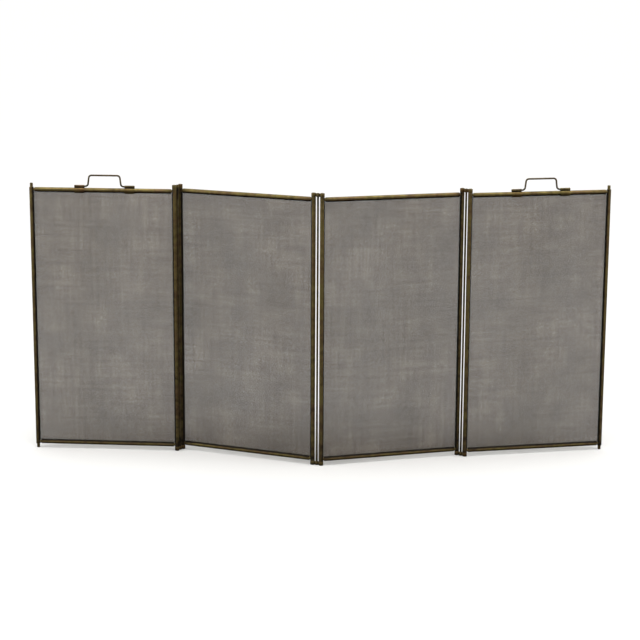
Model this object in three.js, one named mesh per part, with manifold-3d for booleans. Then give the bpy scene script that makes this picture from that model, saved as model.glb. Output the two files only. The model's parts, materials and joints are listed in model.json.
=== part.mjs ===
// A four-panel folding fireplace screen. Each panel is a frame of split round brass bead over steel core
// rods, with fine wire cloth in it. Double-pivot hinges join the panels, and the two outer panels carry
// tipping wire handles. Millimetres, +Z up, the room at -Y and the fire at +Y.
import * as THREE from "three";
import { mergeVertices } from "three/addons/utils/BufferGeometryUtils.js";
import Module from "manifold-3d";

const wasm = await Module();
wasm.setup();

// ---- Driving sizes, mm ----
const PANEL_HEIGHT = 610; // over the two rails
const PANEL_WIDTH = 330.5; // between the axes of the two stiles
const ROD_DIAMETER = 7; // core rods of stiles and rails
const ROD_TIP = 9.7; // a stile rod's stand-out past the rails, at the foot and at the top
const ROD_CHAMFER = 0.5;
const HEM_ROOM = 0.9; // between a core rod and its casing, for the turned edge of the cloth
const CASING_WALL = 0.8;
const RAIL_STANDOFF = 1.8; // bare rod between a stile casing and the end of a rail casing
const CLOTH_THICKNESS = 0.6; // two crossing wires
const LINK_PITCH = 20.9; // between the two rod axes that a hinge joins
const LINK_WALL = 1.4;
const LINK_TIP_SHOWING = 0.5; // how far a rod's end shows past its link
const WEB_THICKNESS = 2.8; // the link's strap, two leaves pinched together
const WEB_SETBACK = 0.5; // how much lower than its barrels a link's strap is, above and below
const TIE_DIAMETER = 4.6;
const TIE_END = 0.5; // how far the tie rod shows past a link's strap
const BOSS_WALL = 1.2;
const HANDLE_GRIP = 74; // between the axes of a handle's legs, halfway up
const HANDLE_RISE = 25.5; // from the handle's pivot to the axis of its bar
const HANDLE_LEAN = 1.5; // how far a leg leans out, from its top to its foot
const HANDLE_CORNER = 7.5; // bend radius under the bar
const HANDLE_FOOT = 6; // height of the bend that turns a leg out into its barrel
const FOOT_FLARE = 0.5; // how far that bend's corner stands out from the leg and up from the barrel
const WIRE_SETBACK = 0.5; // from the wire's end to the barrel's far face
const WIRE_DIAMETER = 4;
const STRAP_LENGTH = 23;
const STRAP_INNER_END = 46.5; // from the middle of the handle to a strap's near end
const STRAP_SHEET = 0.8;
const STRAP_TAIL = 1.0; // how far the strap's ends hang beside the cloth

// ---- Clearances, mm ----
const RUNNING = 0.3; // round a rod or wire that turns
const SEAT = 0.3; // between pieces that are fixed to each other
const FACE_GAP = 0.4; // between a link and the casing's end next to it
const CLOTH_ROOM = 0.4; // on each side of the cloth, and between its edge and a rod

// ---- Standing pose, degrees: each turn is from the piece before, counter-clockwise from above ----
const FIRST_HEADING = -4.1;
const HINGE_TURNS = [
  [56.5, -74.6], // panel to link, link to panel
  [1.3, 37.0],
  [-48.9, 44.4],
];
const HANDLED_PANELS = {
  1: { handle: "left_handle", shift: 4.2 }, // how far right of its panel's middle the handle stands, mm
  4: { handle: "right_handle", shift: 1.8 },
};

// ---- Dependent sizes ----
const ROD_RADIUS = ROD_DIAMETER / 2;
const CASING_BORE = ROD_RADIUS + HEM_ROOM;
const CASING_RADIUS = CASING_BORE + CASING_WALL;
const SLOT = CLOTH_THICKNESS + 2 * CLOTH_ROOM;
const ROD_LENGTH = PANEL_HEIGHT + 2 * ROD_TIP;
const LOW_RAIL_Z = ROD_TIP + CASING_RADIUS;
const HIGH_RAIL_Z = ROD_TIP + PANEL_HEIGHT - CASING_RADIUS;
const LINK_BORE = ROD_RADIUS + RUNNING;
const LINK_HEIGHT = ROD_TIP - LINK_TIP_SHOWING - FACE_GAP;
const WEB_HEIGHT = LINK_HEIGHT - 2 * WEB_SETBACK;
const WIRE_RADIUS = WIRE_DIAMETER / 2;
const STRAP_BORE = CASING_RADIUS + SEAT;
const BARREL_BORE = WIRE_RADIUS + RUNNING;
const HANDLE_PIVOT = STRAP_BORE + STRAP_SHEET + BARREL_BORE; // above the rail's axis

// ---- Facets ----
const ARC_STEPS = 10; // per half turn of a casing
const ROUND_SIDES = 16;
const HOLE_SIDES = 12;
const WIRE_SIDES = 8;
const WIRE_STEPS = 52;
const OVERCUT = 1; // how far a cutter passes the face it opens

// ---- Finishes ----
const AGED_BRASS = { color: 0x7a6c45, metalness: 0.9, roughness: 0.42 };
const DARK_STEEL = { color: 0x2b2720, metalness: 0.85, roughness: 0.55 };
const WIRE_CLOTH = { color: 0x6f6d68, metalness: 0.6, roughness: 0.6 };

// The manifold-3d solid of a closed geometry.
function solid(geometry) {
  geometry.deleteAttribute("normal");
  geometry.deleteAttribute("uv");
  const merged = mergeVertices(geometry, 1e-4);
  return new wasm.Manifold(
    new wasm.Mesh({
      numProp: 3,
      vertProperties: merged.attributes.position.array,
      triVerts: new Uint32Array(merged.index.array),
    }),
  );
}

// The three.js geometry of a manifold-3d solid.
function geometryOf(made) {
  const { vertProperties, triVerts } = made.getMesh();
  const geometry = new THREE.BufferGeometry();
  geometry.setAttribute("position", new THREE.BufferAttribute(vertProperties, 3));
  geometry.setIndex(new THREE.BufferAttribute(triVerts, 1));
  geometry.computeVertexNormals();
  return geometry;
}

const joined = (first, ...others) => others.reduce((sum, next) => sum.add(next), first);
const cut = (from, ...cutters) => cutters.reduce((rest, next) => rest.subtract(next), from);

// A round post standing on z = bottom, its axis at x.
function post(radius, height, x = 0, bottom = 0) {
  const geometry = new THREE.CylinderGeometry(radius, radius, height, ROUND_SIDES);
  geometry.rotateX(Math.PI / 2);
  geometry.translate(x, 0, bottom + height / 2);
  return solid(geometry);
}

// A round bar along X, centred on x = 0, its axis at z.
function bar(radius, length, z = 0) {
  const geometry = new THREE.CylinderGeometry(radius, radius, length, ROUND_SIDES);
  geometry.rotateZ(Math.PI / 2);
  geometry.translate(0, 0, z);
  return solid(geometry);
}

function block(sizeX, sizeY, sizeZ, x, y, z) {
  const geometry = new THREE.BoxGeometry(sizeX, sizeY, sizeZ);
  geometry.translate(x, y, z);
  return solid(geometry);
}

function mesh(name, geometry, finish) {
  const made = new THREE.Mesh(geometry, new THREE.MeshStandardMaterial(finish));
  made.name = name;
  return made;
}

// A straight rod along Z from z = 0, its end edges chamfered.
function rodGeometry(radius, length, chamfer) {
  const profile = [
    new THREE.Vector2(0, 0),
    new THREE.Vector2(radius - chamfer, 0),
    new THREE.Vector2(radius, chamfer),
    new THREE.Vector2(radius, length - chamfer),
    new THREE.Vector2(radius - chamfer, length),
    new THREE.Vector2(0, length),
  ];
  const geometry = new THREE.LatheGeometry(profile, ROUND_SIDES);
  geometry.rotateX(Math.PI / 2);
  return geometry;
}

// A split bead along Z from z = 0: a ring of tube with a slot for the cloth along its +X side.
function beadSolid(length) {
  const outer = Math.asin(SLOT / 2 / CASING_RADIUS);
  const inner = Math.asin(SLOT / 2 / CASING_BORE);
  const section = new THREE.Shape();
  section.absarc(0, 0, CASING_RADIUS, outer, 2 * Math.PI - outer, false);
  section.absarc(0, 0, CASING_BORE, 2 * Math.PI - inner, inner, true);
  section.closePath();
  const options = { depth: length, bevelEnabled: false, curveSegments: ARC_STEPS };
  return solid(new THREE.ExtrudeGeometry(section, options));
}

// A stile casing stands over the full panel height, with a hole in its slotted side for each rail's rod.
function stileCasing() {
  const hole = (z) => {
    const radius = ROD_RADIUS + CLOTH_ROOM;
    const reach = CASING_RADIUS + OVERCUT;
    const geometry = new THREE.CylinderGeometry(radius, radius, reach, HOLE_SIDES);
    geometry.rotateZ(Math.PI / 2);
    geometry.translate(reach / 2, 0, z);
    return solid(geometry);
  };
  const bead = beadSolid(PANEL_HEIGHT);
  return geometryOf(cut(bead, hole(CASING_RADIUS), hole(PANEL_HEIGHT - CASING_RADIUS)));
}

// A rail casing stops short of the two stiles.
function railCasing() {
  return geometryOf(beadSolid(PANEL_WIDTH - 2 * (CASING_RADIUS + RAIL_STANDOFF)));
}

// The cloth is a flat sheet. Its edges lie in the casings' slots and stop short of the core rods.
function clothGeometry() {
  const margin = ROD_RADIUS + CLOTH_ROOM;
  const width = PANEL_WIDTH - 2 * margin;
  const height = HIGH_RAIL_Z - LOW_RAIL_Z - 2 * margin;
  return new THREE.BoxGeometry(width, CLOTH_THICKNESS, height);
}

// A hinge link lies from z = 0: a barrel round each rod, and a strap that swells to a boss at the tie rod.
function linkGeometry() {
  const body = joined(
    post(LINK_BORE + LINK_WALL, LINK_HEIGHT),
    post(LINK_BORE + LINK_WALL, LINK_HEIGHT, LINK_PITCH),
    post(TIE_DIAMETER / 2 + SEAT + BOSS_WALL, WEB_HEIGHT, LINK_PITCH / 2, WEB_SETBACK),
    block(LINK_PITCH, WEB_THICKNESS, WEB_HEIGHT, LINK_PITCH / 2, 0, LINK_HEIGHT / 2),
  );
  const through = LINK_HEIGHT + 2 * OVERCUT;
  return geometryOf(
    cut(
      body,
      post(LINK_BORE, through, 0, -OVERCUT),
      post(LINK_BORE, through, LINK_PITCH, -OVERCUT),
      post(TIE_DIAMETER / 2 + SEAT, through, LINK_PITCH / 2, -OVERCUT),
    ),
  );
}

// A handle's wire runs in the XZ plane, its pivot on the X axis: end, foot bend, leg, corner and bar.
function bailGeometry() {
  const end = STRAP_INNER_END + STRAP_LENGTH - WIRE_SETBACK;
  const turn = STRAP_INNER_END - RUNNING;
  const foot = HANDLE_GRIP / 2 + HANDLE_LEAN / 2;
  const shoulder = HANDLE_GRIP / 2 - HANDLE_LEAN / 2;
  const at = (x, z) => new THREE.Vector3(x, 0, z);
  const leftHalf = [
    [at(-end, 0), at(-turn, 0)],
    [at(-turn, 0), at(-foot - FOOT_FLARE, FOOT_FLARE), at(-foot, HANDLE_FOOT)],
    [at(-foot, HANDLE_FOOT), at(-shoulder, HANDLE_RISE - HANDLE_CORNER)],
    [
      at(-shoulder, HANDLE_RISE - HANDLE_CORNER),
      at(-shoulder + HANDLE_LEAN / 4, HANDLE_RISE),
      at(-shoulder + HANDLE_CORNER, HANDLE_RISE),
    ],
  ];
  const mirrored = (point) => at(-point.x, point.z);
  const rightHalf = leftHalf.map((points) => points.map(mirrored).reverse()).reverse();
  const crossbar = [leftHalf[3][2], rightHalf[0][0]];
  const path = new THREE.CurvePath();
  for (const points of [...leftHalf, crossbar, ...rightHalf]) {
    const isBend = points.length === 3;
    path.add(isBend ? new THREE.QuadraticBezierCurve3(...points) : new THREE.LineCurve3(...points));
  }
  const section = new THREE.Shape();
  section.absarc(0, 0, WIRE_RADIUS, 0, 2 * Math.PI, false);
  const options = { steps: WIRE_STEPS, extrudePath: path, curveSegments: WIRE_SIDES / 2 };
  return geometryOf(solid(new THREE.ExtrudeGeometry(section, options)));
}

// A handle strap wraps the rail, whose axis is X, under a barrel for the wire. Its two ends hang beside
// the cloth, which leaves the rail between them.
function strapGeometry() {
  const wrap = STRAP_BORE + STRAP_SHEET;
  const bottom = wrap + STRAP_TAIL;
  const body = joined(
    bar(wrap, STRAP_LENGTH),
    bar(BARREL_BORE + STRAP_SHEET, STRAP_LENGTH, HANDLE_PIVOT),
    block(STRAP_LENGTH, SLOT + 2 * STRAP_SHEET, bottom, 0, 0, -bottom / 2),
  );
  const through = STRAP_LENGTH + 2 * OVERCUT;
  const slotDepth = bottom + OVERCUT;
  return geometryOf(
    cut(
      body,
      bar(STRAP_BORE, through),
      bar(BARREL_BORE, through, HANDLE_PIVOT),
      block(through, SLOT, slotDepth, 0, 0, -slotDepth / 2),
    ),
  );
}

// A panel stands on z = 0 with its left stile's axis on Z and its right stile's at x = PANEL_WIDTH.
function makePanel(number) {
  const panel = new THREE.Group();
  panel.name = `panel_${number}`;
  const sides = [
    { side: "left", x: 0, slotTurn: 0 },
    { side: "right", x: PANEL_WIDTH, slotTurn: Math.PI },
  ];
  for (const { side, x, slotTurn } of sides) {
    const casing = mesh(`${panel.name}_${side}_stile_casing`, stileCasing(), AGED_BRASS);
    casing.position.set(x, 0, ROD_TIP);
    casing.rotation.z = slotTurn;
    const rodShape = rodGeometry(ROD_RADIUS, ROD_LENGTH, ROD_CHAMFER);
    const rod = mesh(`${panel.name}_${side}_stile_rod`, rodShape, DARK_STEEL);
    rod.position.x = x;
    panel.add(casing, rod);
  }
  // A piece built along Z, its slot facing +X, is laid along the rail with the slot facing the cloth.
  const rails = [
    { side: "top", z: HIGH_RAIL_Z, layX: 0, towards: 1 },
    { side: "bottom", z: LOW_RAIL_Z, layX: PANEL_WIDTH, towards: -1 },
  ];
  for (const { side, z, layX, towards } of rails) {
    const casing = mesh(`${panel.name}_${side}_rail_casing`, railCasing(), AGED_BRASS);
    const casingStart = CASING_RADIUS + RAIL_STANDOFF;
    casing.position.set(layX + towards * casingStart, 0, z);
    const rodStart = ROD_RADIUS + SEAT;
    const rodShape = rodGeometry(ROD_RADIUS, PANEL_WIDTH - 2 * rodStart, ROD_CHAMFER);
    const rod = mesh(`${panel.name}_${side}_rail_rod`, rodShape, DARK_STEEL);
    rod.position.set(layX + towards * rodStart, 0, z);
    for (const piece of [casing, rod]) piece.rotation.y = (towards * Math.PI) / 2;
    panel.add(casing, rod);
  }
  const cloth = mesh(`${panel.name}_wire_cloth`, clothGeometry(), WIRE_CLOTH);
  cloth.position.set(PANEL_WIDTH / 2, 0, (LOW_RAIL_Z + HIGH_RAIL_Z) / 2);
  panel.add(cloth);
  if (number in HANDLED_PANELS) {
    const { handle, shift } = HANDLED_PANELS[number];
    panel.add(makeHandle(handle, PANEL_WIDTH / 2 + shift));
  }
  return panel;
}

// A handle stands on its panel's top rail with its middle at x, its group's origin on the pivot.
function makeHandle(name, x) {
  const handle = new THREE.Group();
  handle.name = name;
  handle.position.set(x, 0, HIGH_RAIL_Z + HANDLE_PIVOT);
  handle.add(mesh(`${name}_bail`, bailGeometry(), DARK_STEEL));
  for (const [side, way] of [["left", -1], ["right", 1]]) {
    const strap = mesh(`${name}_${side}_strap`, strapGeometry(), AGED_BRASS);
    strap.position.set(way * (STRAP_INNER_END + STRAP_LENGTH / 2), 0, -HANDLE_PIVOT);
    handle.add(strap);
  }
  return handle;
}

// A hinge's group has its origin on the rod before it, and the next rod is at x = LINK_PITCH.
function makeHinge(number) {
  const hinge = new THREE.Group();
  hinge.name = `hinge_${number}`;
  const lowZ = LINK_TIP_SHOWING;
  const highZ = ROD_LENGTH - LINK_TIP_SHOWING - LINK_HEIGHT;
  for (const [side, z] of [["top", highZ], ["bottom", lowZ]]) {
    const link = mesh(`${hinge.name}_${side}_link`, linkGeometry(), AGED_BRASS);
    link.position.z = z;
    hinge.add(link);
  }
  const tieBottom = lowZ + WEB_SETBACK - TIE_END;
  const tieLength = ROD_LENGTH - 2 * tieBottom;
  const tieShape = rodGeometry(TIE_DIAMETER / 2, tieLength, TIE_END / 2);
  const tie = mesh(`${hinge.name}_tie_rod`, tieShape, AGED_BRASS);
  tie.position.set(LINK_PITCH / 2, 0, tieBottom);
  hinge.add(tie);
  return hinge;
}

// The chain: each hinge hangs on the panel before it, and each next panel on its hinge.
function makeScreen() {
  const screen = new THREE.Group();
  let panel = makePanel(1);
  panel.rotation.z = THREE.MathUtils.degToRad(FIRST_HEADING);
  screen.add(panel);
  HINGE_TURNS.forEach(([linkTurn, panelTurn], index) => {
    const hinge = makeHinge(index + 1);
    hinge.position.x = PANEL_WIDTH;
    hinge.rotation.z = THREE.MathUtils.degToRad(linkTurn);
    panel.add(hinge);
    panel = makePanel(index + 2);
    panel.position.x = LINK_PITCH;
    panel.rotation.z = THREE.MathUtils.degToRad(panelTurn);
    hinge.add(panel);
  });
  // The part's origin is the bottom centre of its bounding box.
  screen.updateMatrixWorld(true);
  const bounds = new THREE.Box3().setFromObject(screen, true);
  const middle = bounds.getCenter(new THREE.Vector3());
  screen.position.set(-middle.x, -middle.y, -bounds.min.z);
  return screen;
}

const group = makeScreen();
export default group;
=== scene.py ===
import json
import math

import bpy
import numpy as np
from mathutils import Matrix, Vector


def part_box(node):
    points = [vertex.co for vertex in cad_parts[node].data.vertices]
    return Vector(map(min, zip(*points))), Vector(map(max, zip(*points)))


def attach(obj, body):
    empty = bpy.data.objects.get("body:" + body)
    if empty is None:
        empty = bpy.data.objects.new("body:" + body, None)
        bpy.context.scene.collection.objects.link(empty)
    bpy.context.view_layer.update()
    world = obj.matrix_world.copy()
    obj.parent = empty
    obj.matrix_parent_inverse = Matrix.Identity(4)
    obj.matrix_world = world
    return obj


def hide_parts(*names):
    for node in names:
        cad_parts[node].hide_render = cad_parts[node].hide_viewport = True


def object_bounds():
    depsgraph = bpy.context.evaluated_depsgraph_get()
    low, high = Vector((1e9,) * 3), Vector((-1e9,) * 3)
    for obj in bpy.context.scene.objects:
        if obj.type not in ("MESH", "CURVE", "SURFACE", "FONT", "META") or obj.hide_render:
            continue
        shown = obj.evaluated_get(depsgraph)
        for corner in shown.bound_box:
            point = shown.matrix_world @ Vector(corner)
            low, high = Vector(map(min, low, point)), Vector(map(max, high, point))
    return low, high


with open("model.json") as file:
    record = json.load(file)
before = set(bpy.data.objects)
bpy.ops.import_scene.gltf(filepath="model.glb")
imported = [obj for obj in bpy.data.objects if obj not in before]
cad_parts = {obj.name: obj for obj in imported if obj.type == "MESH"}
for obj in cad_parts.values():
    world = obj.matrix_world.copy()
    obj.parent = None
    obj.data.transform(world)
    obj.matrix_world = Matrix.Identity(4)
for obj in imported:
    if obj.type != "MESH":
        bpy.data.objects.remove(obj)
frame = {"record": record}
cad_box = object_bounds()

MM = 0.001
UP = np.array([0.0, 0.0, 1.0])
CREASE = math.radians(38)  # faces that meet at more than this have a sharp edge
NO_TRIANGLES = np.empty((0, 3), int)

# ---- Sizes that the frame's boxes don't give ----
BEAD_RADIUS = 5.2 * MM
BEAD_WALL = 0.8 * MM
BEAD_SLOT = 1.4 * MM
BEAD_EASE = 0.25 * MM  # rounding of a cut end
LIP_EDGE = 0.06  # how thick the very edge of a lip is, as a share of the wall
NOTCH_RADIUS = 3.9 * MM  # the hole in a stile's bead where a rail's core rod goes in
ROD_RADIUS = 3.5 * MM
ROD_EASE = 0.9 * MM  # the turned rounding of a rod's end
RAIL_STANDOFF = 1.8 * MM  # bare rod between a stile's bead and the end of a rail's bead
SWAGE_LENGTH = 1.6 * MM  # how far a rail bead's end is drawn in over its rod
SWAGE_GAP = 0.12 * MM  # between the drawn-in end and the rod
CORE_GAP = 0.6 * MM  # how much shorter a rail's core rod is than the room between its stiles' core rods
LINK_SHEET = 1.4 * MM
LINK_BARREL = 4.5 * MM  # radius of a link's sheet, at its middle, round a rod
LINK_BOSS = 3.1 * MM  # the same round the tie rod
LINK_SETBACK = 0.5 * MM  # how much lower the strap between the barrels is, above and below
LINK_STEP = 1.0 * MM  # length of the step down to it
LINK_EDGE = 0.35 * MM  # rounding of the strap's sheared edges
LINK_FACET = 0.4 * MM  # between the rings of its folded line
TIE_RADIUS = 2.3 * MM
TIE_EASE = 0.5 * MM
WIRE_RADIUS = 2.0 * MM  # of a handle's wire
HANDLE_GRIP = 74 * MM  # between the middle lines of its legs, halfway up
HANDLE_LEAN = 1.5 * MM  # how far each leg leans in
HANDLE_CORNER = 7.5 * MM  # how far an upper bend reaches
HANDLE_FOOT = 6 * MM  # how far above the pivot a lower bend ends
HANDLE_FLARE = 0.5 * MM  # how far out and up a lower bend's corner is
HANDLE_TIP = 0.3  # the flat middle of a handle's domed end, as a share of the wire's radius
STRAP_NEAR_END = 46.5 * MM  # from the handle's middle to a strap
STRAP_LENGTH = 23 * MM  # along the rail
STRAP_SHEET = 0.8 * MM
STRAP_ROOM = 0.3 * MM  # between a handle strap and the rail or wire that it wraps
STRAP_EDGE = 0.28 * MM  # rounding of its sheared edges
STRAP_FACET = 0.35 * MM  # between the rings of its wrapped line
STRAP_DROP = 1.0 * MM  # how far the ends of the sheet hang below the wrap
WIRE_SETBACK = 0.5 * MM  # from the wire's end to its barrel's far face
LEAF_GAP = 0.05 * MM  # between two leaves that are pinched together
CLOTH_MARGIN = 3.9 * MM  # from a rod's axis to the edge of the cloth
# The cloth is taken to have wires 0.33 mm thick, 1 mm apart. They are drawn thicker, at that spacing.
CLOTH_PITCH = 1.0 * MM
CLOTH_WIRE = 0.64 * MM
CLOTH_BELLY = 0.3 * MM  # how far the cloth stands out of flat
CLOTH_WANDER = 1.3 * MM  # how far a wire strays sideways from its even place
WIRE_STATIONS = np.array([0, 1.2, 2.2, 3.2]) * MM  # from a wire's end, close where the dark line of dusty cloth and painted shade is

# ---- How far patina, dusty lines and painted shade reach ----
EDGE_SHADE = 1.6 * MM  # width of the dark line on the cloth beside its beads, partly dusty cloth and partly painted shade where the cloth goes into the slots
STILE_TIPS = 6 * MM  # along a stile's core rod from each end
RAIL_TIPS = 8 * MM  # along a rail's core rod from each end
BEAD_TIPS = 14 * MM  # along a bead from each end
TIE_TIPS = 20 * MM  # along a tie rod from each end
PINCH_SHADE = 2.2 * MM  # from the plane where a link's two leaves meet
LINK_SHADE = 4 * MM  # from a link's middle down to where its low side is darkest
HANDLE_SHADE = 12 * MM  # up a handle's wire from its pivot
WAIST_SHADE = 1.6 * MM  # up and down from a handle strap's waist
TAIL_START = 2 * MM  # from the rail's axis down to where a strap's tail starts to darken
TAIL_SHADE = 4 * MM  # from there to where it is darkest
BARREL_SHADE = 1.5 * MM  # from a strap's waist up to where its barrel is darkest

# ---- Sizes that follow from them ----
LINK_SHOULDER = LINK_BARREL - LINK_STEP / 2  # from a rod's axis to where its barrel starts to step down
STRAP_WRAP = BEAD_RADIUS + STRAP_ROOM + STRAP_SHEET / 2  # radius of the sheet's middle, round the rail
STRAP_BARREL = WIRE_RADIUS + STRAP_ROOM + STRAP_SHEET / 2  # the same round the wire
STRAP_WAIST = BEAD_RADIUS + STRAP_ROOM + STRAP_SHEET  # where the sheet is pinched between rail and wire
STRAP_TAIL = STRAP_WRAP + STRAP_SHEET / 2 + STRAP_DROP  # from the rail's axis down to the sheet's ends
HANDLE_END = STRAP_NEAR_END + STRAP_LENGTH - WIRE_SETBACK

BODY_OF = {
    node: body
    for body, nodes in frame["record"]["behaviour"]["bodies"].items()
    for node in nodes
}


# ---- Places from the frame ----
def ends(node):
    """The lowest and highest corners of a CAD node."""
    low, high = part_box(node)
    return np.array(low), np.array(high)


def centre(node):
    """The middle of a CAD node's box."""
    low, high = ends(node)
    return (low + high) / 2


def unit(vector):
    """A vector over its length."""
    return vector / np.linalg.norm(vector)


def panel_axes(number):
    """The feet of a panel's two stile axes, and the direction from the left one to the right one."""
    feet = []
    for side in ("left", "right"):
        low, high = ends(f"panel_{number}_{side}_stile_rod")
        feet.append(np.array([(low[0] + high[0]) / 2, (low[1] + high[1]) / 2, low[2]]))
    return feet[0], feet[1], unit(feet[1] - feet[0])


def laid(local, start, along, facing):
    """Own axes to the frame's: start + x times facing + y times (along x facing) + z times along."""
    side = np.cross(along, facing)
    return start + local @ np.stack([facing, side, along])


# ---- Surfaces ----
def grid_faces(rows, columns, closed=False):
    """A quad between each point of a grid and the next in its row and column. Rows always close on
    themselves, and if closed is true the last row joins the first."""
    here = np.arange(rows * columns).reshape(rows, columns)
    ahead = np.roll(here, -1, axis=0)
    quads = np.stack([here, np.roll(here, -1, axis=1), np.roll(ahead, -1, axis=1), ahead], axis=-1)
    if not closed:
        quads = quads[:-1]
    return quads.reshape(-1, 4)


def skin(rings, closed=False):
    """A surface through rings of points. Unless the rings close on themselves, a fan from the middle of
    each end ring closes that end."""
    rows, columns = rings.shape[:2]
    points = rings.reshape(-1, 3)
    quads = grid_faces(rows, columns, closed)
    if closed:
        return points, quads, NO_TRIANGLES
    ring = np.arange(columns)
    ahead = np.roll(ring, -1)
    last = (rows - 1) * columns
    pole = np.full(columns, rows * columns)
    first_fan = np.stack([ahead, ring, pole], axis=-1)
    last_fan = np.stack([ring + last, ahead + last, pole + 1], axis=-1)
    middles = rings[[0, -1]].mean(axis=1)
    return np.concatenate([points, middles]), quads, np.concatenate([first_fan, last_fan])


def volume(points, quads, triangles):
    """Signed volume: a sixth of the sum of each triangle's corner products, positive if faces point out."""
    fans = np.concatenate([quads[:, [0, 1, 2]], quads[:, [0, 2, 3]], triangles])
    a, b, c = (points[fans[:, i]] for i in range(3))
    return np.einsum("ij,ij->", a, np.cross(b, c)) / 6


def eased_rod(length, radius, ease, middle_rows=14):
    """Height and radius of the rings of a rod: each end has a flat face, a quarter circle of radius ease
    and then the straight side."""
    turn = np.linspace(0, np.pi / 2, 5)
    rise = ease * (1 - np.cos(turn))
    reach = radius - ease * (1 - np.sin(turn))
    middle = np.linspace(ease, length - ease, middle_rows)[1:-1]
    heights = np.concatenate([rise, middle, (length - rise)[::-1]])
    return heights, np.concatenate([reach, np.full(len(middle), radius), reach[::-1]])


def round_rings(path, radius, square, sides=24):
    """Rings round a path: its point plus the radius times the cosine along one direction square to the
    path, and times the sine along the other."""
    tangent = np.gradient(path, axis=0)
    tangent /= np.linalg.norm(tangent, axis=1, keepdims=True)
    other = np.cross(tangent, square)
    angle = np.arange(sides) * 2 * np.pi / sides
    radius = np.broadcast_to(radius, len(path))[:, None, None]
    across = np.cos(angle)[None, :, None] * square + np.sin(angle)[None, :, None] * other[:, None, :]
    return path[:, None, :] + radius * across


def rod_skin(length, radius, ease):
    """A rod up z from 0, with its ends eased."""
    heights, reach = eased_rod(length, radius, ease)
    path = heights[:, None] * UP
    return skin(round_rings(path, reach, np.array([1.0, 0.0, 0.0])))


def split_bead(height, outer, inner, gap):
    """A wall bent into a C along z. At each height its middle line is an arc of the mean radius that
    stops where it is half the gap wide, and the wall's thickness runs out in a half circle at each lip."""
    wall = (outer - inner)[:, None]
    middle = ((outer + inner) / 2)[:, None]
    opening = np.arcsin(gap[:, None] / 2 / middle)
    turn = np.linspace(0, np.pi / 2, 4)
    lip_angle = opening + (1 - np.cos(turn)) * wall / 2 / middle
    lip_share = np.maximum(np.sin(turn), LIP_EDGE)
    arc = np.linspace(0, 1, 34)[1:-1]
    first = lip_angle[:, -1:]
    back = first + arc * (2 * np.pi - 2 * first)
    angle = np.concatenate([lip_angle, back, 2 * np.pi - lip_angle[:, ::-1]], axis=1)
    share = np.concatenate([lip_share, np.ones(len(arc)), lip_share[::-1]])
    half = share * wall / 2
    around = np.concatenate([angle, angle[:, ::-1]], axis=1)
    radius = np.concatenate([middle + half, (middle - half)[:, ::-1]], axis=1)
    flat = np.stack([radius * np.cos(around), radius * np.sin(around)], axis=-1)
    heights = np.broadcast_to(height[:, None, None], (*around.shape, 1))
    rings = np.concatenate([flat, heights], axis=-1)
    rows, columns = around.shape
    outer_side = np.arange(columns // 2 - 1)
    inner_side = columns - 2 - outer_side
    cap = np.stack([outer_side, outer_side + 1, inner_side, inner_side + 1], axis=-1)
    quads = [grid_faces(rows, columns), cap[:, ::-1], cap + (rows - 1) * columns]
    return rings.reshape(-1, 3), np.concatenate(quads), NO_TRIANGLES


def stile_bead(length):
    """A split bead whose slot widens to a round notch near each end, where a rail's rod goes in: within
    the notch's radius of the rail's axis, the gap is the notch's chord."""
    turn = np.linspace(0, np.pi / 2, 4)
    rim = BEAD_EASE * (1 - np.cos(turn))
    notch = BEAD_RADIUS - NOTCH_RADIUS * np.cos(np.linspace(0, np.pi, 15))
    middle = np.linspace(2.5 * BEAD_RADIUS, length / 2, 8)
    half = np.concatenate([rim, notch, middle])
    height = np.concatenate([half, (length - half)[::-1][1:]])
    from_end = np.minimum(height, length - height)
    chord = 2 * np.sqrt(np.maximum(NOTCH_RADIUS**2 - (from_end - BEAD_RADIUS) ** 2, 0))
    shrink = BEAD_EASE * (1 - np.sin(np.arccos(1 - np.minimum(from_end / BEAD_EASE, 1))))
    outer = BEAD_RADIUS - shrink
    inner = BEAD_RADIUS - BEAD_WALL + shrink
    return split_bead(height, outer, inner, np.maximum(chord, BEAD_SLOT))


def rail_bead(length):
    """A split bead drawn in at each end over its rod: the outside follows a quarter ellipse and the
    inside comes in to the rod, both over the swage's length. The wall thins to a third of itself."""
    turn = np.linspace(0, np.pi / 2, 9)
    swage = SWAGE_LENGTH * (1 - np.cos(turn))
    half = np.concatenate([swage, np.linspace(2 * SWAGE_LENGTH, length / 2, 8)])
    height = np.concatenate([half, (length - half)[::-1][1:]])
    share = np.minimum(np.minimum(height, length - height) / SWAGE_LENGTH, 1)
    swell = np.sqrt(1 - (1 - share) ** 2)
    inner_end = ROD_RADIUS + SWAGE_GAP
    inner = inner_end + (BEAD_RADIUS - BEAD_WALL - inner_end) * swell
    outer_end = inner_end + BEAD_WALL / 3
    outer = outer_end + (BEAD_RADIUS - outer_end) * swell
    return split_bead(height, outer, inner, np.full(len(height), BEAD_SLOT))


def strip_rings(path, half_sheet, half_width, rounding, closed):
    """Rings of a rounded rectangle along a line drawn on the xy plane: as thick as the sheet square to the
    line, and as wide as the strip along z."""
    if closed:
        tangent = np.roll(path, -1, axis=0) - np.roll(path, 1, axis=0)
    else:
        tangent = np.gradient(path, axis=0)
    tangent /= np.linalg.norm(tangent, axis=1, keepdims=True)
    normal = np.stack([tangent[:, 1], -tangent[:, 0]], axis=-1)
    corner = np.repeat(np.arange(4), 4)
    angle = (corner + np.tile(np.linspace(0, 1, 4), 4)) * np.pi / 2
    side = np.sign(np.cos((corner + 0.5) * np.pi / 2))
    top = np.sign(np.sin((corner + 0.5) * np.pi / 2))
    out = side * (half_sheet - rounding) + rounding * np.cos(angle)
    lift = top * (half_width[:, None] - rounding) + rounding * np.sin(angle)
    flat = path[:, None, :] + out[None, :, None] * normal[:, None, :]
    return np.concatenate([flat, lift[..., None]], axis=-1)


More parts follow.
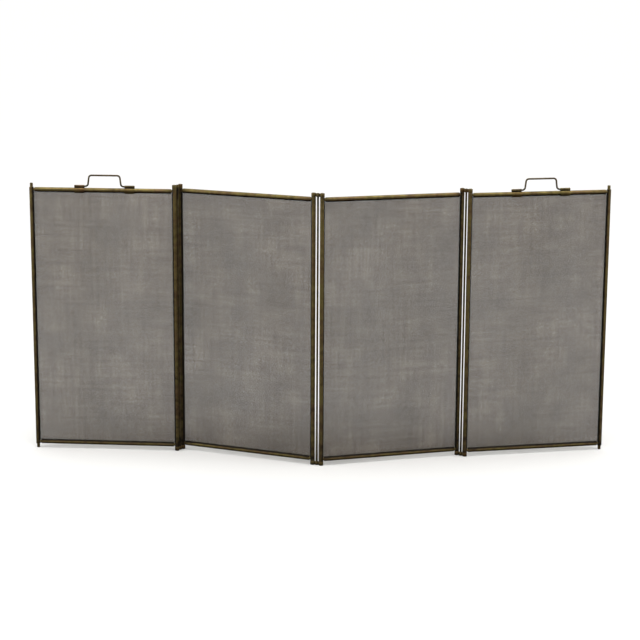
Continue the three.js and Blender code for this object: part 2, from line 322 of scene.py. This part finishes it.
def arc_line(middle, radius, start, stop, count):
    """Points on a circle, from one angle to another."""
    angle = np.linspace(start, stop, count)
    return np.stack([middle[0] + radius * np.cos(angle), middle[1] + radius * np.sin(angle)], axis=-1)


def relaxed(path, closed, passes=3):
    """Each point moved to half itself and a quarter of each neighbour, a few times, which eases the
    sharp inner corners of a folded sheet."""
    for _ in range(passes):
        eased = path / 2 + (np.roll(path, 1, axis=0) + np.roll(path, -1, axis=0)) / 4
        if not closed:
            eased[[0, -1]] = path[[0, -1]]
        path = eased
    return path


def evenly(path, step, closed):
    """The same line with its points a step apart."""
    if closed:
        path = np.concatenate([path, path[:1]])
    length = np.concatenate([[0], np.cumsum(np.linalg.norm(np.diff(path, axis=0), axis=1))])
    count = int(length[-1] / step) + 1
    places = np.linspace(0, length[-1], count)
    line = np.stack([np.interp(places, length, path[:, i]) for i in range(2)], axis=-1)
    return line[:-1] if closed else line


def folded_link(pitch, height):
    """A strap folded round two rods and a tie rod. Its middle line is an arc round each rod, an arc over
    the tie rod and straight leaves between, then the same mirrored for the back leaf. It is as high as
    the barrels there, and lower between them by a smooth step."""
    leaf = LINK_SHEET / 2 + LEAF_GAP
    barrel_angle = math.asin(leaf / LINK_BARREL)
    boss_angle = math.asin(leaf / LINK_BOSS)
    front = np.concatenate(
        [
            arc_line((0, 0), LINK_BARREL, np.pi, barrel_angle, 30),
            arc_line((pitch / 2, 0), LINK_BOSS, np.pi - boss_angle, boss_angle, 12),
            arc_line((pitch, 0), LINK_BARREL, np.pi - barrel_angle, 0, 30),
        ]
    )
    back = front[::-1][1:-1] * [1, -1]
    line = evenly(np.concatenate([front, back]), LINK_FACET, closed=True)
    line = relaxed(line, closed=True)
    from_rod = np.minimum(np.abs(line[:, 0]), np.abs(line[:, 0] - pitch))
    step = np.clip((from_rod - LINK_SHOULDER) / LINK_STEP, 0, 1)
    half_width = height / 2 - LINK_SETBACK * step * step * (3 - 2 * step)
    return skin(strip_rings(line, LINK_SHEET / 2, half_width, LINK_EDGE, closed=True), closed=True)


def wrapped_strap(pivot):
    """A strap wrapped round a rail and a handle's wire, its line in a plane across the rail with x up:
    from one end beside the cloth, round the rail's front, over the wire and back down behind."""
    leaf = STRAP_SHEET / 2 + LEAF_GAP
    tail_side = BEAD_SLOT / 2 + STRAP_SHEET / 2
    foot = np.pi - math.asin(tail_side / STRAP_WRAP)
    waist = math.asin(leaf / STRAP_WRAP)
    neck = np.pi - math.asin(leaf / STRAP_BARREL)
    tail = np.array([[-STRAP_TAIL, tail_side]])
    wrap = arc_line((0, 0), STRAP_WRAP, foot, waist, 30)
    barrel = arc_line((pivot, 0), STRAP_BARREL, neck, 0, 16)
    front = np.concatenate([tail, wrap, barrel])
    line = np.concatenate([front, front[::-1][1:] * [1, -1]])
    line = relaxed(evenly(line, STRAP_FACET, closed=False), closed=False, passes=4)
    half_width = np.full(len(line), STRAP_LENGTH / 2)
    return skin(strip_rings(line, STRAP_SHEET / 2, half_width, STRAP_EDGE, closed=False))


def bend(start, corner, stop, count=9):
    """A quadratic curve from start to stop that leaves and arrives along the lines to its corner."""
    t = np.linspace(0, 1, count)[:, None]
    return (1 - t) ** 2 * start + 2 * t * (1 - t) * corner + t**2 * stop


def bent_handle(rise):
    """A round wire in the xz plane with its pivot on the x axis: the end in its barrel, the foot's bend,
    a leaning leg, the corner and half the bar, then the same mirrored. Its ends are domed."""
    foot = (HANDLE_GRIP + HANDLE_LEAN) / 2
    shoulder = (HANDLE_GRIP - HANDLE_LEAN) / 2
    turn = STRAP_NEAR_END - STRAP_ROOM

    def at(x, z):
        return np.stack([-x, 0 * x, z + 0 * x], axis=-1)

    quarter = np.linspace(0, np.pi / 2, 6)
    dome_length = 0.6 * WIRE_RADIUS
    dome = at(HANDLE_END - dome_length * (1 - np.cos(quarter)), 0)
    leg_foot = at(foot, HANDLE_FOOT)
    leg_top = at(shoulder, rise - HANDLE_CORNER)
    bar_end = at(shoulder - HANDLE_CORNER, rise)
    half = np.concatenate(
        [
            dome,
            np.linspace(dome[-1], at(turn, 0), 8)[1:-1],
            bend(at(turn, 0), at(foot + HANDLE_FLARE, HANDLE_FLARE), leg_foot),
            np.linspace(leg_foot, leg_top, 6)[1:-1],
            bend(leg_top, at(shoulder - HANDLE_LEAN / 4, rise), bar_end, 12),
            np.linspace(bar_end, at(np.float64(0), rise), 8)[1:],
        ]
    )
    path = np.concatenate([half, half[::-1][1:] * [-1, 1, 1]])
    radius = np.full(len(path), WIRE_RADIUS)
    radius[: len(quarter)] *= np.maximum(np.sin(quarter), HANDLE_TIP)
    radius[-len(quarter) :] *= np.maximum(np.cos(quarter), HANDLE_TIP)
    return skin(round_rings(path, radius, np.array([0.0, 1.0, 0.0]), sides=20))


def wire_cloth(width, height, number):
    """Two layers of fine wires that touch where they cross, uprights at the front and level wires behind.
    Both follow one belly: a sum of two long sines in x and z that dies away at the frame. The wires are
    evenly spaced but for a slow stray, a product of two sines. Each is a four-sided prism with its edges at
    the front, the sides and the back, and a flat face at each end. Its stations crowd near the ends, where
    the dark line of dusty cloth and painted shade is."""

    def belly(x, z):
        waves = np.sin(5.0 * x / width + 2.0 * z / height + number)
        waves = waves + np.sin(2.5 * x / width - 5.5 * z / height + 2.4 * number)
        return CLOTH_BELLY * waves / 2 * np.sin(np.pi * x / width) * np.sin(np.pi * z / height)

    layers = []
    for span, length, layer in ((width, height, -1), (height, width, 1)):
        count = int(span / CLOTH_PITCH)
        even = (np.arange(count) + 0.5) / count
        stray = np.sin(np.pi * even) * np.sin(2.6 * np.pi * even + 1.7 * number + layer)
        place = even * span + CLOTH_WANDER * stray
        middle = np.linspace(0, length, 11)[1:-1]
        along = np.concatenate([WIRE_STATIONS, middle, length - WIRE_STATIONS[::-1]])
        across = CLOTH_WIRE / 2 * np.array([[-1, 0], [0, -1], [1, 0], [0, 1]])
        shape = (count, len(along), 4)
        sideways = np.broadcast_to(place[:, None, None] + across[:, 0], shape)
        endways = np.broadcast_to(along[None, :, None], shape)
        x, z = (sideways, endways) if layer < 0 else (endways, sideways)
        y = belly(x, z) + across[:, 1] + layer * CLOTH_WIRE / 2
        crossings = along[None, :, None] / CLOTH_PITCH + np.arange(count)[:, None, None]
        crimp = np.broadcast_to(crossings, shape)
        corner = np.arange(count * len(along) * 4).reshape(shape)
        ahead = np.roll(corner, -1, axis=2)
        sides = np.stack([corner[:, :-1], ahead[:, :-1], ahead[:, 1:], corner[:, 1:]], axis=-1)
        caps = np.concatenate([corner[:, 0, ::-1], corner[:, -1]])
        quads = np.concatenate([sides.reshape(-1, 4), caps])
        if layer > 0:
            quads = quads[:, ::-1] + len(layers[0][0])
        layers.append((np.stack([x, y, z], axis=-1).reshape(-1, 3), quads, crimp.ravel()))
    points, quads, crimp = (np.concatenate(part) for part in zip(*layers))
    return points, quads, NO_TRIANGLES, crimp


# ---- Putting a surface in the scene ----
def make_piece(name, surface, place, material, slot, node, lay, values):
    """A mesh object of a surface's whole arrays, with its faces turned out, that stands for a CAD node.
    place is where its z starts, the way z goes and the way x faces. lay is each point's own place with the
    piece's length first, and values are named point values."""
    local, quads, triangles = surface
    if volume(local, quads, triangles) < 0:
        quads, triangles = quads[:, ::-1], triangles[:, ::-1]
    points = laid(local, *place)
    corners = np.concatenate([quads.ravel(), triangles.ravel()]).astype(np.int32)
    sizes = np.concatenate([np.full(len(quads), 4), np.full(len(triangles), 3)])
    starts = np.concatenate([[0], np.cumsum(sizes)[:-1]]).astype(np.int32)
    mesh = bpy.data.meshes.new(name)
    mesh.vertices.add(len(points))
    mesh.vertices.foreach_set("co", points.astype(np.float32).ravel())
    mesh.loops.add(len(corners))
    mesh.loops.foreach_set("vertex_index", corners)
    mesh.polygons.add(len(sizes))
    mesh.polygons.foreach_set("loop_start", starts)
    mesh.polygons.foreach_set("use_smooth", np.ones(len(sizes), bool))
    mesh.update(calc_edges=True)
    if slot != "wire_cloth":
        mesh.set_sharp_from_angle(angle=CREASE)
    own_place = mesh.attributes.new("lay", "FLOAT_VECTOR", "POINT")
    own_place.data.foreach_set("vector", lay.astype(np.float32).ravel())
    for key, value in values.items():
        mesh.attributes.new(key, "FLOAT", "POINT").data.foreach_set("value", value.astype(np.float32))
    mesh.materials.append(material)
    piece = bpy.data.objects.new(name, mesh)
    bpy.context.scene.collection.objects.link(piece)
    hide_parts(node)
    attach(piece, BODY_OF[node])


# ---- Finishes ----
def colour(code):
    """An sRGB hex colour as linear red, green, blue and a full alpha."""
    share = np.array([int(code[i : i + 2], 16) for i in (1, 3, 5)]) / 255
    linear = np.where(share <= 0.04045, share / 12.92, ((share + 0.055) / 1.055) ** 2.4)
    return (*linear, 1.0)


def add(tree, kind, inputs=(), **settings):
    """Adds a node. Settings are its properties, with stops for a colour ramp as (place, colour) pairs, and
    inputs gives each input by name or number a value, or the output that it is linked to."""
    made = tree.nodes.new(kind)
    stops = settings.pop("stops", ())
    for key, value in settings.items():
        setattr(made, key, value)
    for index, (place, value) in enumerate(stops):
        elements = made.color_ramp.elements
        stop = elements[index] if index < len(elements) else elements.new(place)
        stop.position = place
        stop.color = value
    for key, value in dict(inputs).items():
        if isinstance(value, bpy.types.NodeSocket):
            tree.links.new(value, made.inputs[key])
        else:
            made.inputs[key].default_value = value
    return made


def finish_tree(name):
    """A new material with an empty node tree."""
    material = bpy.data.materials.new(name)
    material.use_nodes = True
    material.node_tree.nodes.clear()
    return material, material.node_tree


def mixed(tree, share, first, second):
    """A mix of two colours by a share."""
    blended = add(tree, "ShaderNodeMix", {0: share, 6: first, 7: second}, data_type="RGBA")
    return blended.outputs[2]


def antiqued_metal(name, rubbed, toned, oxide_and_shade, spread, roughness):
    """Metal with a dark patina that has been rubbed back where hands and cloths reach, toned browner in
    patches 30 mm long, and brown-black in the mottles and along the drawn lines of the sheet. The point
    values of each piece darken it further: patina in its hollows, and painted shade where it is turned from
    the light or tucked behind other parts. Patina mottles are 6 to 20 mm across. The drawn lines are finer
    than 0.1 mm on the real one and are drawn 0.7 mm apart."""
    material, tree = finish_tree(name)
    place = add(tree, "ShaderNodeTexCoord").outputs["Object"]
    lay = add(tree, "ShaderNodeAttribute", attribute_name="lay").outputs["Vector"]
    grime = add(tree, "ShaderNodeAttribute", attribute_name="grime").outputs["Fac"]
    mottle = add(
        tree,
        "ShaderNodeTexNoise",
        {"Vector": place, "Scale": 1 / (14 * MM), "Detail": 5.0, "Roughness": 0.62},
    ).outputs["Fac"]
    stretched = add(tree, "ShaderNodeMapping", {"Vector": lay, "Scale": (0.06, 1.0, 1.0)}).outputs[0]
    drawn = add(
        tree,
        "ShaderNodeTexNoise",
        {"Vector": stretched, "Scale": 1 / (0.7 * MM), "Detail": 3.0, "Roughness": 0.55},
    ).outputs["Fac"]
    tone = add(
        tree,
        "ShaderNodeTexNoise",
        {"Vector": place, "Scale": 1 / (30 * MM), "Detail": 3.0, "Roughness": 0.6},
    ).outputs["Fac"]
    browner = add(tree, "ShaderNodeMapRange", {0: tone, 1: 0.4, 2: 0.62}).outputs[0]
    metal_colour = mixed(tree, browner, colour(rubbed), colour(toned))
    patches = add(
        tree, "ShaderNodeMapRange", {0: mottle, 1: 0.42, 2: 0.7, 3: 0.0, 4: spread}
    ).outputs[0]
    lines = add(tree, "ShaderNodeMapRange", {0: drawn, 1: 0.35, 2: 0.75, 3: -0.06, 4: 0.16}).outputs[0]
    # Mottles plus the point values: patina, and painted shade where the piece puts it.
    patina_and_shade = add(tree, "ShaderNodeMath", {0: patches, 1: grime}, operation="ADD").outputs[0]
    dark = add(tree, "ShaderNodeMath", {0: patina_and_shade, 1: lines}, operation="ADD", use_clamp=True).outputs[0]
    gloss = add(
        tree, "ShaderNodeMapRange", {0: dark, 1: 0.0, 2: 1.0, 3: roughness, 4: roughness + 0.28}
    ).outputs[0]
    metal = add(tree, "ShaderNodeMapRange", {0: dark, 1: 0.0, 2: 1.0, 3: 1.0, 4: 0.72}).outputs[0]
    pits = add(
        tree, "ShaderNodeBump", {"Strength": 0.25, "Distance": 0.05 * MM, "Height": drawn}
    ).outputs[0]
    dents = add(
        tree,
        "ShaderNodeBump",
        {"Strength": 0.3, "Distance": 0.3 * MM, "Height": mottle, "Normal": pits},
    ).outputs[0]
    shader = add(
        tree,
        "ShaderNodeBsdfPrincipled",
        {
            "Base Color": mixed(tree, dark, metal_colour, colour(oxide_and_shade)),
            "Metallic": metal,
            "Roughness": gloss,
            "Normal": dents,
        },
    )
    add(tree, "ShaderNodeOutputMaterial", {"Surface": shader.outputs[0]})
    return material


def browned_wire_cloth(name):
    """Steel wire browned by heat, woven 1 mm apart. The over and under of the weave is too fine for the
    mesh at this many wires, so it is a bump along each wire, up at one crossing and down at the next. Heat
    has tinted it in clouds 80 mm across with a grain of 4 mm, the loom left streaks 7 mm wide along both
    ways of the wire, a dark line beside the beads is dusty cloth and painted shade, and pale specks, partly
    rubbed crossings and partly painted glints, are thicker in some of the clouds."""
    material, tree = finish_tree(name)
    place = add(tree, "ShaderNodeTexCoord").outputs["Object"]
    lay = add(tree, "ShaderNodeAttribute", attribute_name="lay").outputs["Vector"]
    crimp = add(tree, "ShaderNodeAttribute", attribute_name="crimp").outputs["Fac"]
    grime = add(tree, "ShaderNodeAttribute", attribute_name="grime").outputs["Fac"]
    clouds = add(
        tree,
        "ShaderNodeTexNoise",
        {"Vector": place, "Scale": 1 / (80 * MM), "Detail": 4.0, "Roughness": 0.55},
    ).outputs["Fac"]
    spots = add(
        tree,
        "ShaderNodeTexNoise",
        {"Vector": place, "Scale": 1 / (4 * MM), "Detail": 2.0, "Roughness": 0.6},
    ).outputs["Fac"]
    streaks = []
    for stretch in ((0.05, 1.0, 1.0), (1.0, 0.05, 1.0)):
        pulled = add(tree, "ShaderNodeMapping", {"Vector": lay, "Scale": stretch}).outputs[0]
        streak = add(tree, "ShaderNodeTexNoise", {"Vector": pulled, "Scale": 1 / (7 * MM), "Detail": 2.0})
        streaks.append(streak.outputs["Fac"])
    crossed = add(tree, "ShaderNodeMath", {0: streaks[0], 1: streaks[1]}, operation="ADD").outputs[0]
    streaky = add(tree, "ShaderNodeMath", {0: crossed, 1: clouds}, operation="MULTIPLY").outputs[0]
    grainy = add(
        tree, "ShaderNodeMath", {0: spots, 1: 0.3, 2: streaky}, operation="MULTIPLY_ADD"
    ).outputs[0]
    tint = add(
        tree,
        "ShaderNodeValToRGB",
        {0: grainy},
        stops=((0.4, colour("#7c6f61")), (0.65, colour("#908272")), (0.9, colour("#a59787"))),
    ).outputs[0]
    # Pale specks in the base colour, partly rubbed crossings and partly painted glints, more of them where
    # the clouds are high.
    sparse = add(tree, "ShaderNodeMapRange", {0: clouds, 1: 0.45, 2: 0.6, 3: 0.82, 4: 0.64}).outputs[0]
    above = add(tree, "ShaderNodeMath", {0: spots, 1: sparse}, operation="SUBTRACT").outputs[0]
    rubbed = add(tree, "ShaderNodeMapRange", {0: above, 1: 0.0, 2: 0.06, 3: 0.0, 4: 0.8}).outputs[0]
    # The dark line beside the beads: dusty cloth and painted shade.
    dusty_and_shaded = mixed(tree, grime, tint, colour("#141109"))
    tint_with_glints = mixed(tree, rubbed, dusty_and_shaded, colour("#d8cebd"))
    turn = add(tree, "ShaderNodeMath", {0: crimp, 1: math.pi}, operation="MULTIPLY").outputs[0]
    wave = add(tree, "ShaderNodeMath", {0: turn}, operation="SINE").outputs[0]
    weave = add(
        tree, "ShaderNodeBump", {"Strength": 0.6, "Distance": 0.12 * MM, "Height": wave}
    ).outputs[0]
    shader = add(
        tree,
        "ShaderNodeBsdfPrincipled",
        {
            "Base Color": tint_with_glints,
            "Metallic": 0.9,
            "Roughness": add(
                tree, "ShaderNodeMapRange", {0: clouds, 1: 0.3, 2: 0.7, 3: 0.36, 4: 0.5}
            ).outputs[0],
            "Normal": weave,
        },
    )
    add(tree, "ShaderNodeOutputMaterial", {"Surface": shader.outputs[0]})
    return material


# ---- The pieces ----
def lengthwise(local, seed):
    """A point's own place with the length first, shifted by the piece's number so that no two match."""
    return local[:, [2, 0, 1]] + [0.37 * seed, 0.11 * seed, 0.0]


def near_ends(distance, length, reach):
    """1 at each end of a length, falling smoothly to 0 a reach away."""
    from_end = np.minimum(distance, length - distance) / reach
    return np.exp(-(np.maximum(from_end, 0) ** 2))


def bead_dirt_and_shade(local, length, low_darkening):
    """Patina and painted shade on a bead. On the side of the slot it is patina where no polishing reaches
    and painted shade where that side is turned from the light; near the ends it is patina and painted shade
    where the bead meets the others; and it grows towards z = 0. Towards the slot it grows smoothly while
    the cosine of the angle from the slot goes from 0.2 to 0.65."""
    # Towards the slot: patina in the hollow, and painted shade on the side turned from the light.
    facing = local[:, 0] / np.maximum(np.hypot(local[:, 0], local[:, 1]), 1e-9)
    share = np.clip((facing - 0.2) / 0.45, 0, 1)
    crevice_patina_and_shade = share * share * (3 - 2 * share)
    # Near the ends: patina, and painted shade where the beads meet.
    ends_patina_and_shade = 0.3 * near_ends(local[:, 2], length, BEAD_TIPS)
    # Darker towards z = 0, the foot of a stile.
    low = low_darkening * np.clip(1 - local[:, 2] / length, 0, 1) ** 2
    return crevice_patina_and_shade + ends_patina_and_shade + low


def put_bead(name, node, shape, length, place, low_darkening, seed, finish):
    """A stile's or a rail's bead, of the shape that is given."""
    surface = shape(length)
    local = surface[0]
    grime = bead_dirt_and_shade(local, length, low_darkening)
    make_piece(name, surface, place, finish, "brass_bead", node, lengthwise(local, seed), {"grime": grime})


def put_core(name, node, length, place, darkening_reach, seed, finish):
    """A stile's or a rail's core rod, a little darker near its ends, where they go into the beads: patina
    and painted shade.
    """
    surface = rod_skin(length, ROD_RADIUS, ROD_EASE)
    local = surface[0]
    # Darker near the ends: patina, and painted shade inside the beads.
    grime = 0.2 * near_ends(local[:, 2], length, darkening_reach)
    make_piece(name, surface, place, finish, "core_rod", node, lengthwise(local, seed), {"grime": grime})


def put_cloth(number, foot, along, width, finish):
    """A panel's wire cloth, with a dark line beside its beads: dusty cloth, and painted shade where it goes
    into their slots.
    """
    name = f"panel_{number}"
    node = f"{name}_wire_cloth"
    low, high = ends(node)
    cloth_width = width - 2 * CLOTH_MARGIN
    height = high[2] - low[2]
    points, quads, triangles, crimp = wire_cloth(cloth_width, height, number)
    start = foot + along * CLOTH_MARGIN + UP * (low[2] - foot[2])
    from_side = np.minimum(points[:, 0], cloth_width - points[:, 0])
    from_edge = np.minimum(from_side, np.minimum(points[:, 2], height - points[:, 2]))
    hidden = BEAD_RADIUS - CLOTH_MARGIN
    # Dark beside the beads: dusty cloth, and painted shade where it goes into the slots.
    dusty_line_and_shade = np.clip(1 - (from_edge - hidden) / EDGE_SHADE, 0, 1)
    make_piece(
        f"{name}_woven_wire",
        (points, quads, triangles),
        (start, UP, along),
        finish,
        "wire_cloth",
        node,
        points[:, [2, 0, 1]] + [0.9 * number, 0.6 * number, 0.0],
        {"grime": dusty_line_and_shade, "crimp": crimp},
    )


def build_panel(number, finishes):
    """A panel's four beads, four core rods and cloth."""
    left, right, along = panel_axes(number)
    width = np.linalg.norm(right - left)
    name = f"panel_{number}"
    seed = 10 * number
    for side, foot, facing in (("left", left, along), ("right", right, -along)):
        seed += 1
        stile = f"{name}_{side}_stile"
        low, high = ends(f"{stile}_casing")
        length = high[2] - low[2]
        place = (np.array([foot[0], foot[1], low[2]]), UP, facing)
        put_bead(
            f"{stile}_bead", f"{stile}_casing", stile_bead, length, place, 0.4, seed, finishes["bead"]
        )
        low, high = ends(f"{stile}_rod")
        length = high[2] - low[2]
        place = (foot, UP, facing)
        put_core(f"{stile}_core", f"{stile}_rod", length, place, STILE_TIPS, seed, finishes["rod"])
    for side, facing in (("top", -UP), ("bottom", UP)):
        seed += 1
        rail = f"{name}_{side}_rail"
        middle = centre(f"{rail}_casing")
        length = width - 2 * (BEAD_RADIUS + RAIL_STANDOFF)
        place = (middle - along * length / 2, along, facing)
        put_bead(f"{rail}_bead", f"{rail}_casing", rail_bead, length, place, 0.0, seed, finishes["bead"])
        length = width - 2 * ROD_RADIUS - CORE_GAP
        place = (middle - along * length / 2, along, facing)
        put_core(f"{rail}_core", f"{rail}_rod", length, place, RAIL_TIPS, seed, finishes["rod"])
    put_cloth(number, left, along, width, finishes["cloth"])


def build_hinge(number, finishes):
    """A hinge's two folded links and its tie rod."""
    _, before, _ = panel_axes(number)
    after, _, _ = panel_axes(number + 1)
    pitch = np.linalg.norm(after - before)
    facing = unit(after - before)
    for side in ("top", "bottom"):
        node = f"hinge_{number}_{side}_link"
        low, high = ends(node)
        surface = folded_link(pitch, high[2] - low[2])
        local = surface[0]
        start = np.array([before[0], before[1], (low[2] + high[2]) / 2])
        # Darker where the two leaves are pressed together, patina and painted shade in that hollow, and on
        # the low side, painted shade under the link; edge sets how dark that is, more on the bottom link.
        pinch_patina_and_shade = np.clip(1 - np.abs(local[:, 1]) / PINCH_SHADE, 0, 1)
        edge = 0.35 if side == "top" else 0.75
        low_side_shade = np.clip(-local[:, 2] / LINK_SHADE, 0, 1)
        make_piece(
            f"hinge_{number}_{side}_folded_strap",
            surface,
            (start, UP, facing),
            finishes["link"],
            "hinge_link",
            node,
            local[:, [0, 2, 1]] + 0.21 * number,
            {"grime": 0.5 * pinch_patina_and_shade + edge * low_side_shade},
        )
    node = f"hinge_{number}_tie_rod"
    low, high = ends(node)
    length = high[2] - low[2]
    surface = rod_skin(length, TIE_RADIUS, TIE_EASE)
    start = np.array([(low[0] + high[0]) / 2, (low[1] + high[1]) / 2, low[2]])
    # The tie rod is darker all over, and more near its ends: patina and painted shade where it goes into
    # the links.
    make_piece(
        f"hinge_{number}_tie_bar",
        surface,
        (start, UP, facing),
        finishes["tie"],
        "tie_rod",
        node,
        lengthwise(surface[0], number),
        {"grime": 0.25 + 0.5 * near_ends(surface[0][:, 2], length, TIE_TIPS)},
    )


def build_handle(name, panel, finishes):
    """A handle's bent wire and the two straps that hold it to the top rail."""
    _, _, along = panel_axes(panel)
    node = f"{name}_bail"
    low, high = ends(node)
    pivot = low[2] + WIRE_RADIUS
    rise = high[2] - WIRE_RADIUS - pivot
    surface = bent_handle(rise)
    local = surface[0]
    start = np.array([(low[0] + high[0]) / 2, (low[1] + high[1]) / 2, pivot])
    # The wire is darker near its pivot: painted shade where it goes into the strap's barrel.
    make_piece(
        f"{name}_bent_wire",
        surface,
        (start, UP, along),
        finishes["wire"],
        "handle_wire",
        node,
        local,
        {"grime": 0.5 * np.clip(1 - local[:, 2] / HANDLE_SHADE, 0, 1)},
    )
    rail = centre(f"panel_{panel}_top_rail_casing")[2]
    for side in ("left", "right"):
        node = f"{name}_{side}_strap"
        middle = centre(node)
        surface = wrapped_strap(pivot - rail)
        local = surface[0]
        start = np.array([middle[0], middle[1], rail])
        # Darker at the waist, patina and painted shade where the sheet is squeezed between rail and wire;
        # on the tail, painted shade under the rail; and darker all over the barrel.
        waist = np.exp(-(((local[:, 0] - STRAP_WAIST) / WAIST_SHADE) ** 2))
        tail = np.clip((-local[:, 0] - TAIL_START) / TAIL_SHADE, 0, 1)
        barrel = np.clip((local[:, 0] - STRAP_WAIST) / BARREL_SHADE, 0, 1)
        make_piece(
            f"{name}_{side}_wrapped_strap",
            surface,
            (start, along, UP),
            finishes["strap"],
            "handle_strap",
            node,
            local,
            {"grime": 0.9 * waist + 0.6 * tail + 0.35 * barrel},
        )


# ---- The studio ----
CAMERA_PLACE = (0.0006, -4.1887, 1.2358)
CAMERA_LENS = 105.09  # mm, on a sensor 36 mm wide
CAMERA_DOWN = 12.267  # degrees below level
CAMERA_LEAN = 0.305  # degrees that it is rolled, counter-clockwise from behind
FLOOR_REACH = 120  # metres from the middle of the floor to its edge
KEY_TILT = 9  # degrees from straight down, towards the back


def place_camera():
    """A long lens a little above the screen's top, looking down over it."""
    lens = bpy.data.cameras.new("camera")
    lens.lens = CAMERA_LENS
    lens.sensor_width = 36
    lens.clip_end = 300
    camera = bpy.data.objects.new("camera", lens)
    tilt = Matrix.Rotation(math.radians(90 - CAMERA_DOWN), 4, "X")
    lean = Matrix.Rotation(math.radians(CAMERA_LEAN), 4, "Z")
    camera.matrix_world = Matrix.Translation(CAMERA_PLACE) @ tilt @ lean
    bpy.context.scene.collection.objects.link(camera)
    bpy.context.scene.camera = camera


def pale_floor():
    """A wide matt floor under the feet. Glossy rays pass it, so the brass shows the dark of the room."""
    low, _ = cad_box
    mesh = bpy.data.meshes.new("floor")
    square = ((-1, -1), (1, -1), (1, 1), (-1, 1))
    corners = [(FLOOR_REACH * x, FLOOR_REACH * y, low[2]) for x, y in square]
    mesh.from_pydata(corners, [], [(0, 1, 2, 3)])
    floor = bpy.data.objects.new("floor", mesh)
    material, tree = finish_tree("matt_pale_floor")
    shader = add(tree, "ShaderNodeBsdfDiffuse", {"Color": colour("#f3f3f2")})
    add(tree, "ShaderNodeOutputMaterial", {"Surface": shader.outputs[0]})
    mesh.materials.append(material)
    bpy.context.scene.collection.objects.link(floor)
    floor.visible_glossy = False


def soft_key():
    """A sun as wide as a big softbox, nearly overhead."""
    sun = bpy.data.lights.new("soft_key", "SUN")
    sun.energy = 1.95
    sun.angle = math.radians(58)
    key = bpy.data.objects.new("soft_key", sun)
    key.matrix_world = Matrix.Rotation(math.radians(KEY_TILT), 4, "X")
    bpy.context.scene.collection.objects.link(key)


def softbox(name, place, aim, size, power):
    """A square area light that faces the point it is aimed at."""
    light = bpy.data.lights.new(name, "AREA")
    light.size = size
    light.energy = power
    box = bpy.data.objects.new(name, light)
    turn = (Vector(aim) - Vector(place)).to_track_quat("-Z", "Y")
    box.matrix_world = Matrix.Translation(place) @ turn.to_matrix().to_4x4()
    bpy.context.scene.collection.objects.link(box)


def room():
    """A room all round that is light above and dark below, by the height of each direction. Behind the
    screen it shows as a white backdrop."""
    world = bpy.data.worlds.new("room")
    world.use_nodes = True
    tree = world.node_tree
    tree.nodes.clear()
    way = add(tree, "ShaderNodeTexCoord").outputs["Generated"]
    height = add(tree, "ShaderNodeSeparateXYZ", {0: way}).outputs["Z"]
    lit = add(tree, "ShaderNodeMapRange", {0: height, 1: -0.4, 2: -0.06}).outputs[0]
    walls = mixed(tree, lit, colour("#1d1b18"), colour("#a3a2a0"))
    seen = add(tree, "ShaderNodeLightPath").outputs["Is Camera Ray"]
    backdrop = mixed(tree, seen, walls, colour("#d9d9d8"))
    air = add(tree, "ShaderNodeBackground", {"Color": backdrop, "Strength": 1.45})
    add(tree, "ShaderNodeOutputWorld", {"Surface": air.outputs[0]})
    bpy.context.scene.world = world


bpy.context.scene.view_settings.view_transform = "Standard"
place_camera()
pale_floor()
soft_key()
for name, x in (("left_softbox", -3.2), ("right_softbox", 3.2)):
    softbox(name, place=(x, -1.0, 1.4), aim=(0, 0, 0.4), size=1.6, power=30)
room()
# Each finish's third colour is the dark of its patina, and also the painted shade that the pieces' point
# values ask for.
finishes = {
    "bead": antiqued_metal("antiqued_brass_bead", "#87794a", "#7d6748", "#1f170b", 0.5, 0.34),
    "link": antiqued_metal("antiqued_brass_strap", "#85774c", "#745a38", "#17110a", 0.6, 0.38),
    "tie": antiqued_metal("antiqued_brass_rod", "#7b6f4d", "#6e5c42", "#1f180e", 0.5, 0.38),
    "strap": antiqued_metal("rubbed_brass_sheet", "#857748", "#7d6040", "#181107", 0.5, 0.36),
    "rod": antiqued_metal("browned_core_rod", "#857850", "#76623f", "#241c0f", 0.5, 0.38),
    "wire": antiqued_metal("browned_brass_wire", "#6b604a", "#665542", "#1f1a11", 0.5, 0.40),
    "cloth": browned_wire_cloth("browned_wire_cloth"),
}
for panel in (1, 2, 3, 4):
    build_panel(panel, finishes)
for hinge in (1, 2, 3):
    build_hinge(hinge, finishes)
for handle, panel in (("left_handle", 1), ("right_handle", 4)):
    build_handle(handle, panel, finishes)
